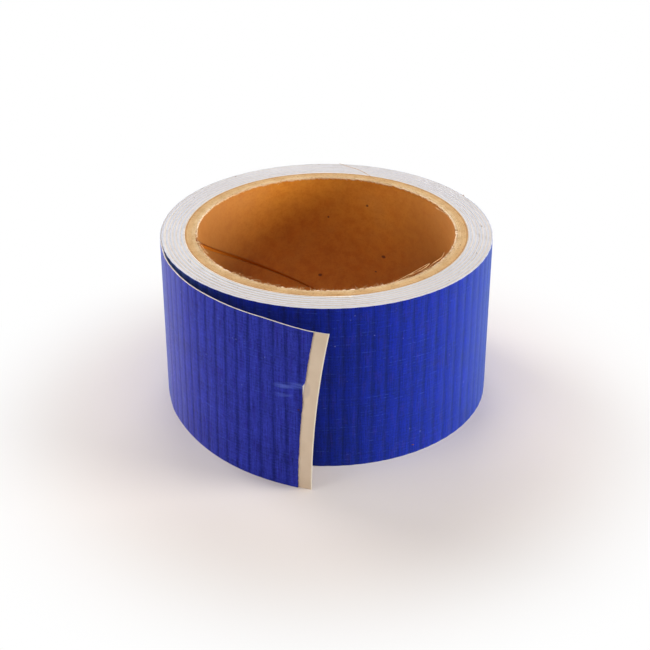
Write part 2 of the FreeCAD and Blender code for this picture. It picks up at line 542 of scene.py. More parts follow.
def makeClothMaterial(name, share):
    material, tree, shader = newMaterial(name)
    u, v, _ = stripPlace(tree)
    depthShare = stored(tree, "depthShare")
    endU = woundLength + tailLength

    # Ribs: soft dark bands of uneven strength
    fromRib = calc("ABSOLUTE", fraction(u / cloth["ribPitch"] + cloth["ribPhase"]) - 0.5)
    rib = smooth(fromRib, 0.25, -0.02) * (uneven(u, v, 250.0, 45.0, 1.3) * 0.7 + 0.45)

    # Weave: long soft streaks up the cloth, finer ones along it, and broken light threads
    slow = uneven(u, v, 60.0, 90.0, detail=3.0)
    crossGrain = uneven(u, v, 2300.0, 150.0, 2.1)
    longGrain = uneven(u, v, 180.0, 2300.0, 5.1)
    grit = uneven(u, v, 1900.0, 1900.0, 8.3)
    hue = uneven(u, v, 700.0, 160.0, 11.0)
    rowPlace = v / cloth["threadSpacing"] + uneven(u, v, 45.0, 40.0, 7.7) * 1.6
    fromRow = calc("ABSOLUTE", fraction(rowPlace) - 0.5)
    rowIndex = calc("FLOOR", rowPlace)
    dash = uneven(u, rowIndex, 900.0, 3.7)
    rowFade = uneven(u, rowIndex, 90.0, 1.9, 4.0)
    thread = smooth(fromRow, 0.22, 0.02) * smooth(dash, 0.40, 0.70) * smooth(rowFade, 0.46, 0.66)
    yarnAcross, yarnUp = (2 * math.pi / size for size in cloth["yarnSize"])
    weave = calc("SINE", u * yarnAcross) * calc("SINE", v * yarnUp)

    # Marks: small pale flecks, a rubbed band near the cut end, and dirt at its nick
    cells = addNode(tree, "ShaderNodeTexVoronoi", {"Vector": vector(tree, u, v), "Scale": 520.0})
    fleck = smooth(cells, 0.17, 0.04) * smooth(uneven(u, v, 420.0, 420.0, 9.0, 1.0), 0.60, 0.70)
    fromCut = u - (endU + 0.3 * mm) - (v - tapeWidth / 2) * tail["cutLean"]
    slope = (fromCut + 5.0 * mm) * 0.20
    rubbed = spot(fromCut, v - slope, (-4.5 * mm, tapeWidth * 0.640), (6.0 * mm, 1.3 * mm))
    rubbedLow = spot(fromCut, v - slope, (-7.0 * mm, tapeWidth * 0.580), (4.0 * mm, 0.7 * mm))
    rubGrain = noise(vector(tree, u * 170.0, v * 900.0 - u * 160.0, 6.0), 1.0, 2.0)
    scuff = calc("MAXIMUM", rubbed, rubbedLow * 0.7) * smooth(rubGrain, 0.32, 0.68) * 0.40
    dirt = strongest([
        spot(fromCut, v, (across * mm, tapeWidth * up), (wide * mm, tall * mm))
        for across, up, wide, tall in cloth["dirt"]
    ])

    # The tail has been handled: its coat turns paler and duller over a long stretch. This paler, more
    # violet colour is partly wear and partly painted sheen, standing in for the light that grazes the
    # tail.
    tailWearAndSheenShare = smooth(u, woundLength - 50 * mm, woundLength + 25 * mm)
    colour = mixColour(tailWearAndSheenShare, cloth["coatColour"], cloth["tailColour"])
    colour = mixColour(smooth(hue, 0.52, 0.74) * 0.55, colour, cloth["warmColour"])
    colour = mixColour(rib * 0.66, colour, cloth["ribColour"])
    shade = 0.92 + (slow - 0.5) * 0.40 + (crossGrain - 0.5) * 1.25 + (longGrain - 0.5) * 0.65
    shade = shade + (grit - 0.5) * 0.9 + weave * 0.10
    shadeColour = addNode(tree, "ShaderNodeCombineColor", dict.fromkeys(range(3), shade))
    colour = mixColour(1.0, colour, shadeColour, "MULTIPLY")
    colour = mixColour(thread * 0.26, colour, cloth["threadColour"])
    colour = mixColour(fleck * 0.40, colour, cloth["fleckColour"])
    colour = mixColour(scuff, colour, cloth["scuffColour"])
    colour = mixColour(dirt * 0.85, colour, cloth["speckColour"])

    lastTurn = woundLength - 2 * math.pi * peelPoint.to_2d().length
    nearTop = smooth(v, tapeWidth - 0.40 * mm, tapeWidth - 0.20 * mm)
    covered = smooth(u, lastTurn + 12 * mm, lastTurn - 2 * mm) * nearTop
    coated = smooth(depthShare, 0.955, 0.998) * (1.0 - covered)
    coated = calc("MAXIMUM", coated, stored(tree, "cutEnd") * 0.9)
    stain = smooth(uneven(u, v, 900.0, 40.0, depthShare * 2.0), 0.40, 0.75)
    yarn = mixColour(stain * 0.5, cloth["yarnColour"], cloth["stainColour"])
    colour = mixColour(coated, yarn, colour)
    height = weave * 0.4 + thread * 0.6 - rib * 0.3 + (crossGrain - 0.5) * 1.6 + (longGrain - 0.5) * 0.9
    roughness = cloth["roughness"] + (crossGrain - 0.5) * 0.25 + rib * 0.10
    finishMaterial(tree, shader, colour, roughness, height, 0.035 * mm, cloth["gloss"])
    shader.inputs["Specular Tint"].default_value = cloth["glossTint"]
    sheen, spread = between(cloth["sheen"], cloth["tailSheen"], share)
    shader.inputs["Sheen Weight"].default_value = sheen
    shader.inputs["Sheen Roughness"].default_value = spread
    tint = between(cloth["sheenTint"], cloth["tailSheenTint"], share)
    shader.inputs["Sheen Tint"].default_value = tint
    return material


# The sheen is even within a piece, so it changes from piece to piece down the tail
clothMaterial = makeClothMaterial("grip cloth", 0.0)
tailClothMaterials = [
    makeClothMaterial("grip cloth tail %d" % (i + 1), share)
    for i, share in enumerate(cloth["tailShares"])
]


# Adhesive: a thin pale layer, seen only at its two edges

adhesive = {
    "colour": srgb(227, 219, 215),
    "dirtColour": srgb(176, 162, 152),
    "edgeInset": 0.04 * mm,
    "edgeWander": 0.05 * mm,
}


def makeAdhesiveMaterial():
    material, tree, shader = newMaterial("adhesive edge")
    u, v, _ = stripPlace(tree)
    grey = uneven(u, v, 260.0, 30.0, 3.0, 3.0)
    dirt = smooth(grey, 0.52, 0.78) * 0.45
    colour = mixColour(dirt, adhesive["colour"], adhesive["dirtColour"])
    finishMaterial(tree, shader, colour, 0.6, grey, 0.03 * mm, 0.3)
    return material


adhesiveMaterial = makeAdhesiveMaterial()


# Release liner: smooth cream paper

liner = {
    "colour": srgb(222, 200, 174),
    "mottleColour": srgb(208, 184, 156),
    "edgeColour": srgb(224, 214, 202),
    # painted shade on the liner's cut edge along the tail
    "paintedShadeEdge": srgb(160, 118, 88),
    "ringLine": srgb(160, 144, 132),
    # painted highlight along the liner's cut end
    "paintedEdgeHighlight": srgb(244, 234, 214),
    "fibreColour": srgb(226, 208, 186),
    "nickPatchColour": srgb(132, 116, 140),
    "nickPatchHeight": 0.635,
    "nickPatchSize": (1.7 * mm, 3.2 * mm),
    "edgeWander": 0.07 * mm,
    "roughness": 0.42,
}


def makeLinerMaterial():
    material, tree, shader = newMaterial("release liner paper")
    u, v, _ = stripPlace(tree)
    mottle = uneven(u, v, 120.0, 90.0, detail=4.0, roughness=0.6)
    fibre = uneven(u, v, 900.0, 2600.0, 3.0)
    colour = mixColour(smooth(mottle, 0.35, 0.70) * 0.6, liner["colour"], liner["mottleColour"])
    colour = mixColour(smooth(fibre, 0.62, 0.80) * 0.2, colour, liner["fibreColour"])
    cutEdge = smooth(calc("ABSOLUTE", stored(tree, "depthShare") - 0.5), 0.49, 0.30)
    beyondCloth = u - (woundLength + tailLength) - (v - tapeWidth / 2) * tail["cutLean"]
    underCloth = smooth(u, woundLength, woundLength + 3 * mm) * smooth(beyondCloth, 0.2 * mm, 0.0)
    lineStrength = noise(vector(tree, u * 28.0, 0.0, 6.0), 1.0, 3.0)
    lineGrain = uneven(u, v, 900.0, 50.0, 7.0)
    onRoll = smooth(u, woundLength, woundLength - 5 * mm)
    line = smooth(lineStrength, 0.36, 0.64) * smooth(lineGrain, 0.30, 0.62) * onRoll
    edgeTone = mixColour(line * 0.60, liner["edgeColour"], liner["ringLine"])
    # Painted shade: along the tail the liner's cut edge is painted brown, as if shaded beside the cloth
    edgeTone = mixColour(underCloth * 0.7, edgeTone, liner["paintedShadeEdge"])
    colour = mixColour(cutEdge, colour, edgeTone)
    # Painted highlight: a pale band along the liner's cut end, standing in for light caught by its cut
    # edge
    fromEnd = (v - tapeWidth / 2) * tail["linerLean"] + (woundLength + tailLength + tail["linerRun"]) - u
    fromEnd = fromEnd - (1.0 - calc("POWER", v * (2 / tapeWidth) - 1.0, 2.0)) * tail["linerBow"]
    colour = mixColour(smooth(fromEnd, 0.34 * mm, 0.14 * mm), colour, liner["paintedEdgeHighlight"])
    # A faint purple-grey patch on the liner beside the cloth's cut edge, at the nick
    nickPatch = spot(beyondCloth, v, (0.0, tapeWidth * liner["nickPatchHeight"]), liner["nickPatchSize"])
    colour = mixColour(nickPatch * 0.20, colour, liner["nickPatchColour"])
    finishMaterial(tree, shader, colour, liner["roughness"], mottle + fibre * 0.5, 0.02 * mm, 0.35)
    return material


linerMaterial = makeLinerMaterial()


# The wound web, one piece for each layer

layerShares = {"liner": (0.0, 0.265), "adhesive": (0.265, 0.575), "cloth": (0.575, 1.0)}
layerFaces = {name: [share * webThickness for share in shares] for name, shares in layerShares.items()}
plainRows = [0.04 * mm, tapeWidth - 0.04 * mm]
clothRows = evenly(0.06 * mm, tapeWidth - 0.06 * mm, 0.56 * mm)
plainProfile = stripProfile(plainRows, plainRows, 0.2)
clothProfile = stripProfile(clothRows, plainRows, 0.14)
fineFrom = woundLength - 2 * math.pi * (coreRadius + 7 * mm) * 1.06  # just before the last turn
layerValues = {
    "cloth": {"Seed": 1.0, "Material": clothMaterial},
    "adhesive": {"Seed": 4.0, "Material": adhesiveMaterial},
    "liner": {"Seed": 7.0, "Material": linerMaterial},
}
for layerName, facts in (("cloth", cloth), ("adhesive", adhesive), ("liner", liner)):
    for key in ("ribPitch", "ribPhase", "ribDepth", "threadRelief", "edgeWander", "edgeInset"):
        if key in facts:
            layerValues[layerName][label(key)] = facts[key]
woundNodes = {"liner": "wound_liner", "adhesive": "wound_adhesive", "cloth": "wound_fabric"}


def windLayer(layer):
    near, far = layerFaces[layer]
    if layer == "cloth":
        runs = [
            (evenly(0.0, fineFrom, 2.5 * mm), plainProfile),
            (evenly(fineFrom, woundLength, 0.5 * mm), clothProfile),
        ]
    else:
        runs = [(evenly(0.0, woundLength, 2.5 * mm), plainProfile)]
    name = "wound" + layer.capitalize()
    piece = grow(name, flatStrip(name, runs, near, far), windingTree, layerValues[layer])
    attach(piece, "roll")
    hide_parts(woundNodes[layer])


for layerName in layerFaces:
    windLayer(layerName)
print("web wound")


# The tail, cut between the fold lines into five lengths

jagSource = random.Random(5)
jagTable = [jagSource.uniform(-1.0, 1.0) for _ in range(140)]


def cutAt(height, lean, bow):
    bowed = bow * ((2 * height / tapeWidth - 1) ** 2 - 1)
    return woundLength + tailLength + (height - tapeWidth / 2) * lean + bowed


def clothEnd(height):
    share = height / tapeWidth
    place = share * (len(jagTable) - 2)
    step = int(place)
    jag = jagTable[step] + (jagTable[step + 1] - jagTable[step]) * (place - step)
    below = (tail["nickHeight"] - share) / 0.10
    nick = max(0.0, 1.0 - below) if below >= 0 else max(0.0, 1.0 + below / 0.25)
    run = tail["clothRun"] + jag * tail["jag"] - nick * tail["nickDepth"]
    return cutAt(height, tail["cutLean"], tail["clothBow"]) + run


def linerEnd(height):
    return cutAt(height, tail["linerLean"], tail["linerBow"]) + tail["linerRun"]


def endColumns(start, endAt, step):
    count = round((endAt(tapeWidth / 2) - start) / step)

    def columnAt(i):
        return lambda height: start + (endAt(height) - start) * i / count

    return [columnAt(i) for i in range(count + 1)]


def onTail(distance):
    angle = tailStart + distance / tailRadius
    x = tailCentre.x + tailRadius * math.cos(angle)
    y = tailCentre.y + tailRadius * math.sin(angle)
    return Vector((x, y, tapeWidth / 2))


def makeTail(layer):
    near, far = layerFaces[layer]
    cuts = tail["sections"]
    step = tail["columnStep"][layer]
    rows = clothRows if layer == "cloth" else evenly(0.04 * mm, tapeWidth - 0.04 * mm, 5.0 * mm)
    profile = stripProfile(rows, rows, 0.14 if layer == "cloth" else 0.2)
    for i in range(5):
        start = woundLength + cuts[i]
        if i < 4:
            columns = evenly(start, woundLength + cuts[i + 1], step)
        else:
            columns = endColumns(start, linerEnd if layer == "liner" else clothEnd, step)
        name = "tail%s%d" % (layer.capitalize(), i + 1)
        mesh = flatStrip(name, [(columns, profile)], near, far)
        values = dict(layerValues[layer])
        if layer == "cloth":
            values["Material"] = tailClothMaterials[i]
        piece = grow(name, mesh, windingTree, values)
        length = cuts[i + 1] - cuts[i]
        if i < 4:
            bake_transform(piece)
        elif layer == "liner":
            length += tail["linerRun"]
            acrossFold = onTail(tailLength + 2.0 * mm) - onTail(tailLength)
            axis = Vector(joints["liner_tab_fold"]["axis"])
            acrossFold -= axis * acrossFold.dot(axis)
            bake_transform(piece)
        else:
            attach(piece, "tail_4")
        nodeLayer = {"cloth": "fabric"}.get(layer, layer)
        replaced = ["tail_%s_%d" % (nodeLayer, max(i, 1))]
        if layer == "liner" and i == 4:
            replaced.append("liner_tab")
        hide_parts(*replaced)
        spare = 0.0
        if i == 4:
            spare = tapeWidth * (tail["linerLean"] if layer == "liner" else tail["cutLean"])
        flat = (tapeWidth, length + spare)
        "wound" + layer.capitalize()


for layerName in layerFaces:
    makeTail(layerName)
print("tail laid")


# Core: plies of paperboard, the innermost a kraft strip wound as a helix

core = {
    "kraftColour": srgb(214, 137, 40),
    "kraftDark": srgb(198, 113, 20),
    # painted light on the bore's left and right walls
    "kraftSideLight": srgb(168, 112, 58),
    "kraftLight": srgb(214, 148, 62),
    "boardColour": srgb(226, 185, 131),
    "boardDark": srgb(200, 148, 88),
    "paleColour": srgb(231, 197, 148),
    "paleDark": srgb(208, 160, 104),
    "outerColour": srgb(212, 160, 98),
    "tornColour": srgb(228, 194, 146),
    "gritColour": srgb(158, 112, 62),
    "borderColour": srgb(158, 98, 44),
    "fleckColour": srgb(58, 28, 12),
    "seamStainAndShade": srgb(120, 68, 22),
    "outerDark": srgb(188, 130, 72),
    "flecks": [  # angle in degrees, height and size in millimetres
        (61, 25, 0.9, 0.6),
        (70, 42, 0.5, 0.5),
        (93, 16, 0.8, 0.6),
        (65, 19, 0.45, 0.3),
        (89, 37, 0.4, 0.45),
    ],
    "seamAngle": math.radians(71.0),
    "seamPitch": 154.0 * mm,
    "seamLow": 0.35 * mm,
    "seamHigh": 1.55 * mm,
    "edgeWander": 0.10 * mm,
    "fray": 1.2 * mm,
    "ripple": 0.06 * mm,
}


def alongPly(angle, height):
    twist = 2 * math.pi / core["seamPitch"]
    gap = (core["seamLow"] + (core["seamHigh"] - core["seamLow"]) * height / tapeWidth) * twist
    share = (math.radians(angle) - core["seamAngle"] - height * twist - gap / 2) % (2 * math.pi)
    return share / (2 * math.pi - gap) * 2 * math.pi * boreRadius + height * twist * boreRadius


def boardColours(place, base, dark):
    blotch = noise(place, 260.0, 3.0)
    grit = noise(place, 1500.0, 3.0, 0.7)
    colour = mixColour(smooth(blotch, 0.35, 0.75) * 0.6, base, dark)
    colour = mixColour(smooth(grit, 0.52, 0.70) * 0.45, colour, core["tornColour"])
    return mixColour(smooth(grit, 0.46, 0.30) * 0.55, colour, core["gritColour"]), grit


def makeKraftMaterial():
    material, tree, shader = newMaterial("kraft ply")
    u, v, _ = stripPlace(tree)
    depthShare = stored(tree, "depthShare")
    around = u + v * (2 * math.pi * boreRadius / core["seamPitch"])
    wall = vector(tree, around, v)
    mottle = noise(wall, 300.0, 4.0, 0.7)
    cloud = noise(wall, 75.0, 3.0)
    fine = noise(wall, 1300.0, 2.0)
    colour = mixColour(smooth(mottle, 0.38, 0.68) * 0.75, core["kraftColour"], core["kraftDark"])
    colour = mixColour(smooth(cloud, 0.48, 0.76) * 0.45, colour, core["kraftLight"])
    colour = mixColour(smooth(fine, 0.50, 0.72) * 0.50, colour, core["kraftDark"])
    # Painted light: the bore's left and right walls are painted duller than its back, standing in for
    # lamps lighting them straight while the back gets light bounced inside the bore
    side, _, _ = parts(objectPlace(tree))
    sideLit = smooth(calc("ABSOLUTE", side), boreRadius * 0.40, boreRadius * 1.05)
    colour = mixColour(sideLit * 0.75, colour, core["kraftSideLight"])
    cells = addNode(tree, "ShaderNodeTexVoronoi", {"Vector": wall, "Scale": 170.0})
    speck = smooth(cells, 0.08, 0.03) * smooth(noise(wall, 60.0, 1.0), 0.58, 0.62)
    flecks = strongest([
        spot(around, v, (alongPly(angle, height * mm), height * mm), (wide * mm, tall * mm))
        for angle, height, wide, tall in core["flecks"]
    ])
    colour = mixColour(calc("MAXIMUM", speck * 0.6, flecks * 0.8), colour, core["fleckColour"])
    # Darker within 0.9 mm of the seam: partly stain at the ply's cut edges, partly painted shade of the
    # seam gap
    fromSeam = calc("MINIMUM", u, 2 * math.pi * boreRadius - u)
    colour = mixColour(smooth(fromSeam, 0.9 * mm, 0.1 * mm) * 0.25, colour, core["seamStainAndShade"])

    # The cut top edge is raw board, and its inner corner is torn pale
    edgePlace = vector(tree, u, v, depthShare * plyThickness)
    raw, _ = boardColours(edgePlace, core["paleColour"], core["paleDark"])
    tornNoise = uneven(u, v, 1100.0, 1100.0, 2.0, 3.0)
    tornReach = v + (tornNoise - 0.5) * (1.6 * mm)
    colour = mixColour(smooth(tornReach, tapeWidth - 0.55 * mm, tapeWidth - 0.22 * mm), colour, raw)
    rough = smooth(tornNoise, 0.50, 0.62) * smooth(v, tapeWidth - 0.6 * mm, tapeWidth - 0.1 * mm)
    colour = mixColour(rough * (1.0 - depthShare) * 0.5, colour, core["tornColour"])
    roughness = 0.46 + (mottle - 0.5) * 0.2
    finishMaterial(tree, shader, colour, roughness, mottle + fine * 0.5, 0.05 * mm, 0.42)
    return material


def makeBoardMaterial(name, base, dark, lined=False, bordered=False):
    material, tree, shader = newMaterial(name)
    place = objectPlace(tree)
    colour, grit = boardColours(place, base, dark)
    depthShare = stored(tree, "depthShare")
    if lined:
        _, _, height = parts(place)
        # The inner face, seen only through the seam gap, is painted dark kraft: partly its kraft colour,
        # partly painted shade of the gap
        belowTorn = smooth(height, tapeWidth - 0.15 * mm, tapeWidth - 0.4 * mm)
        inside = smooth(depthShare, 0.10, 0.0) * belowTorn
        colour = mixColour(inside, colour, core["kraftDark"])
    if bordered:
        colour = mixColour(smooth(depthShare, 0.72, 1.0) * 0.7, colour, core["borderColour"])
    finishMaterial(tree, shader, colour, 0.85, grit, 0.08 * mm, 0.2)
    return material


kraftMaterial = makeKraftMaterial()
boardMaterial = makeBoardMaterial("raw paperboard", core["boardColour"], core["boardDark"])
linedBoardMaterial = makeBoardMaterial(
    "kraft-lined board", core["paleColour"], core["paleDark"], lined=True
)
paleBoardMaterial = makeBoardMaterial("pale paperboard", core["paleColour"], core["boardDark"])
outerBoardMaterial = makeBoardMaterial(
    "outer ply", core["outerColour"], core["outerDark"], bordered=True
)


def buildPlyTree():
    inputs = {
        "Inner radius": boreRadius,
        "Circumference": 1.0,
        "Seam angle": core["seamAngle"],
        "Twist": 0.0,
        "Gap low": 0.0,
        "Gap high": 0.0,
        "Edge wander": core["edgeWander"],
        "Fray": 0.0,
        "Ripple": 0.0,
        "Seed": 0.0,
        "Material": None,
    }
    tree, wire = startTree("bendPly", inputs)
    along, height, depth = parts(addNode(tree, "GeometryNodeInputPosition"))
    topShare = height / tapeWidth
    gap = wire["Gap low"] + (wire["Gap high"] - wire["Gap low"]) * topShare
    gapAngle = gap * wire["Twist"]
    share = along / wire["Circumference"]
    angle = wire["Seam angle"] + height * wire["Twist"]
    angle = angle + gapAngle / 2.0 + share * (2 * math.pi - gapAngle)
    turnX, turnY = calc("COSINE", angle), calc("SINE", angle)
    soft = uneven(turnX, turnY, 6.0, 6.0, wire["Seed"]) - 0.5
    sharpSeed = wire["Seed"] + height * 300.0
    sharp = uneven(turnX, turnY, 55.0, 55.0, sharpSeed, 3.0, 0.65) - 0.5
    atTop = smooth(height, tapeWidth - 1.4 * mm, tapeWidth)
    ripple = uneven(turnX, turnY, 4.0, 4.0, height * 90.0) - 0.5
    fray = wire["Fray"] * smooth(turnY * -1.0, -0.3, 0.85, 0.45, 1.15)
    drop = calc("MAXIMUM", sharp * 2.2 + 0.15, 0.0) * fray * atTop
    rise = height + (topShare * 2.0 - 1.0) * (soft * 2.0 - 0.6) * wire["Edge wander"]
    rise = rise + sharp * wire["Edge wander"] * 0.9 * atTop - drop
    radius = wire["Inner radius"] + depth + ripple * wire["Ripple"]
    radius = radius - atTop * atTop * (sharp + 0.28) * fray * 0.9 * (1.0 - depth / plyThickness)
    placed = vector(tree, radius * turnX, radius * turnY, rise)
    bent = addNode(tree, "GeometryNodeSetPosition", {"Geometry": wire["Geometry"], "Position": placed})
    closed = addNode(tree, "GeometryNodeMergeByDistance", {"Geometry": bent, "Distance": 0.002 * mm})
    endTree(tree, closed, wire["Material"])
    return tree


plyTree = buildPlyTree()
plyNodes = ["core_inner_ply"] + ["core_body_ply_%d" % i for i in range(1, 6)] + ["core_outer_ply"]
plyMaterials = {
    0: kraftMaterial,
    1: linedBoardMaterial,
    2: paleBoardMaterial,
    len(plyNodes) - 1: outerBoardMaterial,
}


def makePly(index, node):
    innermost = index == 0
    outermost = index == len(plyNodes) - 1
    radius = boreRadius + index * plyThickness
    around = 2 * math.pi * radius
    rows = [0.05 * mm, tapeWidth - 0.05 * mm]
    if innermost:  # finer towards the torn top
        fineRows = evenly(tapeWidth - 1.45 * mm, rows[1], 0.14 * mm)
        rows = evenly(rows[0], tapeWidth - 1.6 * mm, 1.4 * mm) + fineRows
    profile = stripProfile(rows, rows, 0.12)
    columns = evenly(0.0, around, 0.45 * mm if innermost else 0.6 * mm)
    mesh = flatStrip(node, [(columns, profile)], 0.0, plyThickness - 0.01 * mm, capped=innermost)
    values = {
        "Inner radius": radius,
        "Circumference": around,
        "Seed": 3.0 + index * 2.7,
        "Material": plyMaterials.get(index, boardMaterial),
    }
    if innermost:
        values |= {
            "Twist": 2 * math.pi / core["seamPitch"],
            "Gap low": core["seamLow"],
            "Gap high": core["seamHigh"],
            "Fray": core["fray"],
            "Ripple": core["ripple"],
        }
    name = "plyInner" if innermost else "plyOuter" if outermost else "plyBody%d" % index
    piece = grow(name, mesh, plyTree, values)
    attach(piece, "roll")
    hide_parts(node)


for plyIndex, plyNode in enumerate(plyNodes):
    makePly(plyIndex, plyNode)
print("core built")


# Torn paper fibres along the bore's top edge

fibres = {
    "count": 1300,
    "length": 1.5 * mm,
    "thickness": 0.08 * mm,
    "seed": 11,
    "colour": srgb(218, 178, 124),
    "darkColour": srgb(176, 128, 74),
}
fibreMaterial = makeTwoTone("torn paper fibre", fibres, 700.0, 2.0, 0.35, 0.70)


def buildFibreTree():
    inputs = {
        "Count": fibres["count"],
        "Radius": boreRadius,
        "Height": tapeWidth,
        "Length": fibres["length"],
        "Thickness": fibres["thickness"],
        "Seed": fibres["seed"],
        "Material": None,
    }
    tree, wire = startTree("tornFibres", inputs)
    length, seed = wire["Length"], wire["Seed"]
    middle = vector(tree, length * 0.5, length * 0.22, length * 0.12)
    end = vector(tree, length, length * 0.05, length * 0.38)
    bend = {"Resolution": 4, "Start": (0.0, 0.0, 0.0), "Middle": middle, "End": end}
    line = addNode(tree, "GeometryNodeCurveQuadraticBezier", bend)
    taper = 1.0 - addNode(tree, "GeometryNodeSplineParameter", output=0) * 0.8
    ring = {"Resolution": 3, "Radius": wire["Thickness"]}
    section = addNode(tree, "GeometryNodeCurvePrimitiveCircle", ring)
    fibreParts = {"Curve": line, "Profile Curve": section, "Scale": taper, "Fill Caps": True}
    fibre = addNode(tree, "GeometryNodeCurveToMesh", fibreParts)

    # Each fibre is rooted at the bore's top edge; they are larger in clumps and at the front
    angle = chance(seed, 0.0, 2 * math.pi, 1)
    turnX, turnY = calc("COSINE", angle), calc("SINE", angle)
    clump = uneven(turnX, turnY, 5.0, 5.0, 0.4)
    radius = wire["Radius"] + chance(seed, -0.1 * mm, 0.45 * mm, 2)
    top = wire["Height"] - chance(seed, 0.02 * mm, 0.4 * mm, 3)
    place = vector(tree, radius * turnX, radius * turnY, top)
    points = addNode(tree, "GeometryNodePoints", {"Count": wire["Count"], "Position": place})
    heading = angle + math.pi + chance(seed, -1.45, 1.45, 6)
    turn = vector(tree, chance(seed, -0.9, 0.9, 4), chance(seed, -0.35, 0.55, 5), heading)
    frontward = smooth(turnY * -1.0, -0.2, 0.9, 0.55, 1.25)
    size = chance(seed, 0.25, 1.0, 7) * smooth(clump, 0.30, 0.72, 0.35, 1.35) * frontward
    scale = vector(tree, size, size, size)
    placed = {"Points": points, "Instance": fibre, "Rotation": turn, "Scale": scale}
    rooted = addNode(tree, "GeometryNodeInstanceOnPoints", placed)
    endTree(tree, rooted, wire["Material"])
    return tree


emptyMesh = bpy.data.meshes.new("coreFibres")
fibrePiece = grow("coreFibres", emptyMesh, buildFibreTree(), {"Material": fibreMaterial})
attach(fibrePiece, "roll")
print("fibres set")


# Loose strands: torn paper along the bore's edge, and one long fibre across the rim
# Thickness, then each point's angle in degrees, radius and height above the top, in millimetres

strands = {
    "rimFibre": (0.14, [
        (66, 38.9, 0.1), (70, 40.6, 0.5), (76, 43.8, 0.7), (82, 46.6, 0.4), (85, 48.9, 0.2),
    ]),
    "edgeCurl": (0.16, [
        (299, 38.3, -0.1), (305, 37.4, 0.1), (312, 36.9, 0.3), (319, 36.9, 0.6), (321, 37.5, 0.9),
        (316, 38.1, 0.8), (309, 37.9, 0.4), (307, 37.3, 0.1), (311, 36.8, -0.1),
    ]),
    "edgeHook": (0.15, [
        (318, 37.9, 0), (323, 37.4, 0.3), (328, 37.8, 0.4), (332, 37.5, 0.2), (336, 36.8, -0.1),
    ]),
    "leftSliver": (0.15, [
        (189, 38.6, 0), (193, 38.0, 0.2), (198, 37.5, 0.2), (203, 37.6, 0.1), (206, 37.1, 0),
    ]),
    "leftFan": (0.12, [(201, 38.0, 0), (204, 37.5, 0.3), (206, 37.7, 0.4)]),
    "rightSliver": (0.22, [(13, 38.2, -0.2), (18, 37.8, -0.3), (23, 37.6, -0.7), (27, 37.7, -1.2)]),
    "rightTwin": (0.14, [(16, 38.0, -0.1), (21, 37.6, -0.4), (25, 37.3, -0.6), (28, 37.6, -0.9)]),
    "backTuft": (0.12, [(112, 38.2, 0), (113, 37.8, -0.4), (114, 37.7, -1.2)]),
    "frontTuft": (0.14, [(233, 38.3, 0), (235, 37.5, 0.2), (236, 36.7, 0)]),
    "frontTwist": (0.12, [(237, 38.2, 0), (238, 37.6, 0.2), (241, 37.2, 0.1)]),
    "frontShred": (0.12, [(247, 38.3, 0), (249, 37.6, 0.1), (250, 37.0, -0.2)]),
}


def onCircle(angle, radius, height):
    turn = math.radians(angle)
    return (radius * mm * math.cos(turn), radius * mm * math.sin(turn), height)


def makeStrand(name, thickness, points):
    curve = bpy.data.curves.new(name, "CURVE")
    curve.dimensions = "3D"
    curve.bevel_depth = thickness * mm / 2
    curve.bevel_resolution = 1
    curve.use_fill_caps = True
    spline = curve.splines.new("NURBS")
    last = len(points) - 1
    spline.points.add(last)
    for i, (angle, radius, above) in enumerate(points):
        spline.points[i].co = (*onCircle(angle, radius, tapeWidth + above * mm), 1.0)
        spline.points[i].radius = 0.35 + 0.65 * math.sin(math.pi * (0.15 + 0.7 * i / last))
    spline.order_u = 3
    spline.use_endpoint_u = True
    spline.resolution_u = 5
    holder = addObject(name, curve)
    graph = bpy.context.evaluated_depsgraph_get()
    mesh = bpy.data.meshes.new_from_object(holder.evaluated_get(graph))
    bpy.data.objects.remove(holder)
    return mesh


def joinMeshes(name, meshes, material):
    vertices, faces = [], []
    for mesh in meshes:
        base = len(vertices)
        vertices += [vertex.co.copy() for vertex in mesh.vertices]
        faces += [[base + index for index in face.vertices] for face in mesh.polygons]
    joined = bpy.data.meshes.new(name)
    joined.from_pydata(vertices, [], faces)
    joined.shade_smooth()
    joined.materials.append(material)
    return addObject(name, joined)


strandMeshes = [makeStrand(name, *facts) for name, facts in strands.items()]
strandPiece = joinMeshes("paperStrands", strandMeshes, fibreMaterial)
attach(strandPiece, "roll")


# Specks of dirt on the tape's cut edge and the rim: angle, radius, height over the floor, size

specks = {
    "seed": 4,
    "growth": 1.35,
    "colour": srgb(166, 112, 48),
    "darkColour": srgb(92, 56, 34),
    "places": [
        (29.8, 48.75, 50.8, 0.34), (2.8, 46.0, 50.8, 0.34), (23.0, 47.7, 50.8, 0.16),
        (92.8, 48.4, 50.8, 0.20), (126.6, 48.2, 50.8, 0.30), (151.0, 46.5, 50.8, 0.18),
        (207.0, 43.7, 50.8, 0.20), (208.3, 43.6, 50.8, 0.24), (209.0, 43.9, 50.8, 0.16),
        (221.5, 47.8, 50.8, 0.18), (222.6, 47.6, 50.8, 0.22), (223.9, 47.8, 50.8, 0.16),
        (230.9, 45.4, 50.8, 0.17), (236.6, 44.1, 50.8, 0.17), (243.0, 47.4, 50.8, 0.14),
        (316.0, 46.9, 50.8, 0.24), (340.0, 45.6, 50.8, 0.24), (338.0, 48.55, 50.75, 0.24),
        (331.0, 48.6, 50.75, 0.20), (334.5, 48.6, 50.75, 0.16), (345.0, 40.0, 50.8, 0.26),
        (340.7, 38.9, 50.7, 0.24), (-59.7, 48.75, 2.95, 0.5),
    ],
}


